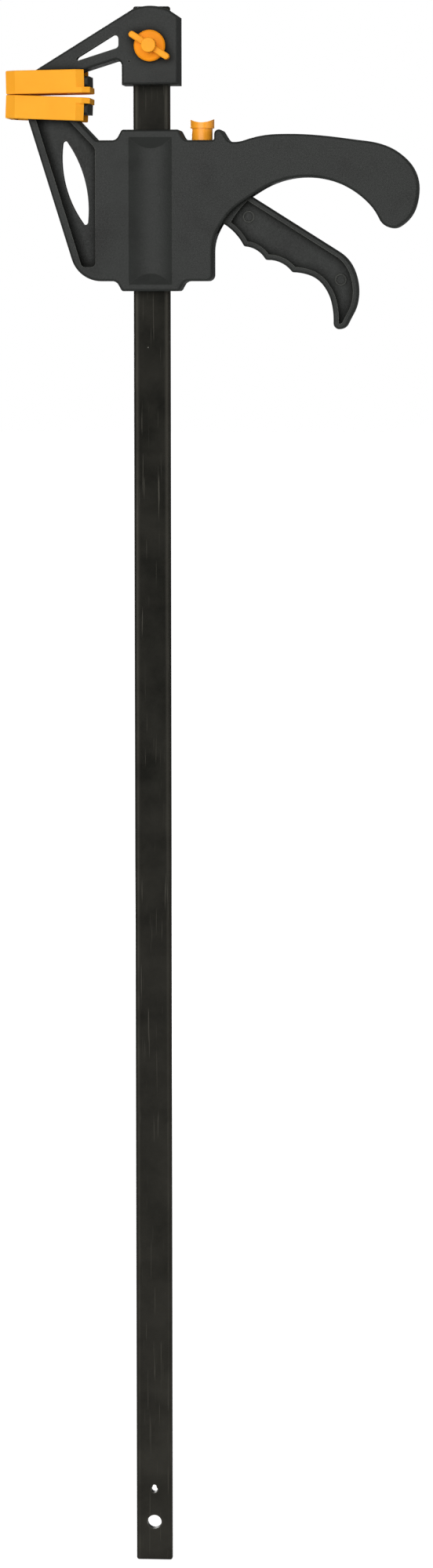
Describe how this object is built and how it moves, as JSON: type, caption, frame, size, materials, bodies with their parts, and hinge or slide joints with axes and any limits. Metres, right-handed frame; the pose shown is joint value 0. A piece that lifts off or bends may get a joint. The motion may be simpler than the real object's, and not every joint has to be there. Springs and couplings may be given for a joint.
{
  "type": "one-handed bar clamp",
  "caption": "One-handed bar clamp: a steel bar with a bolted fixed jaw, padded jaws, and a sliding carriage with a squeeze trigger, handle and release button.",
  "frame": {"origin": "on the bar's axis, in the clamping plane between the two closed pads", "axes": "+Z along the bar towards the fixed jaw, +X towards the handle, -Y is the front with the wing screw"},
  "size_m": [0.2125, 0.0389, 0.816],
  "materials": {
    "blackened_steel": "black oxide with a light oil sheen",
    "black_nylon": "fine moulded grain",
    "orange_pad": "soft satin",
    "orange_plastic": "smooth moulded",
    "zinc_steel": "zinc plated",
    "hardened_steel": "stamped, oiled",
    "spring_steel": "drawn wire"
  },
  "bodies": {
    "bar_and_jaw": {"bar": "blackened_steel", "fixed_jaw": "black_nylon", "fixed_pad": "orange_pad", "captive_nut": "zinc_steel"},
    "screw": {"wing_screw": "zinc_steel"},
    "knob": {"wing_knob": "orange_plastic"},
    "carriage": {"front_shell": "black_nylon", "rear_shell": "black_nylon", "shell_screws": "zinc_steel", "moving_pad": "orange_pad", "trigger_pin": "zinc_steel", "drive_spring": "spring_steel", "brake_spring": "spring_steel"},
    "lever": {"trigger": "black_nylon"},
    "drive_plates": {"drive_plate_top": "hardened_steel", "drive_plate_middle": "hardened_steel", "drive_plate_bottom": "hardened_steel"},
    "brake_plates": {"brake_plate_upper": "hardened_steel", "brake_plate_lower": "hardened_steel"},
    "button": {"release_button": "orange_plastic"}
  },
  "joints": [
    {"name": "jaw_slide", "type": "slide", "parent": "bar_and_jaw", "child": "carriage", "axis": [0, 0, -1], "range_m": [0, 0.61]},
    {"name": "trigger_squeeze", "type": "hinge", "parent": "carriage", "child": "lever", "pos_m": [0.029, 0, -0.055], "axis": [0, -1, 0], "range_deg": [0, 20], "stiffness_Nm_per_rad": 0.6, "springref_deg": -11.46},
    {"name": "drive_stroke", "type": "slide", "parent": "carriage", "child": "drive_plates", "axis": [0, 0, -1], "range_m": [0, 0.00446], "deforming": ["drive_spring"]},
    {"name": "release_press", "type": "slide", "parent": "carriage", "child": "button", "axis": [0, 0, -1], "range_m": [0, 0.0037], "stiffness_N_per_m": 400, "springref_m": -0.004, "deforming": ["brake_spring"]},
    {"name": "brake_tilt", "type": "hinge", "parent": "carriage", "child": "brake_plates", "pos_m": [-0.0165, 0, -0.0375], "axis": [0, 1, 0], "range_deg": [0, 5.01]},
    {"name": "screw_travel", "type": "slide", "parent": "bar_and_jaw", "child": "screw", "axis": [0, -1, 0], "range_m": [0, 0.00225]},
    {"name": "knob_turn", "type": "hinge", "parent": "screw", "child": "knob", "pos_m": [0, -0.0121, 0.0246], "axis": [0, -1, 0], "range_deg": [0, 811]}
  ],
  "couplings": [
    {"joint": "drive_stroke", "follows": "trigger_squeeze", "m_per_rad": 0.01272},
    {"joint": "brake_tilt", "follows": "release_press", "rad_per_m": 23.585},
    {"joint": "knob_turn", "follows": "screw_travel", "rad_per_m": 6283.2}
  ]
}
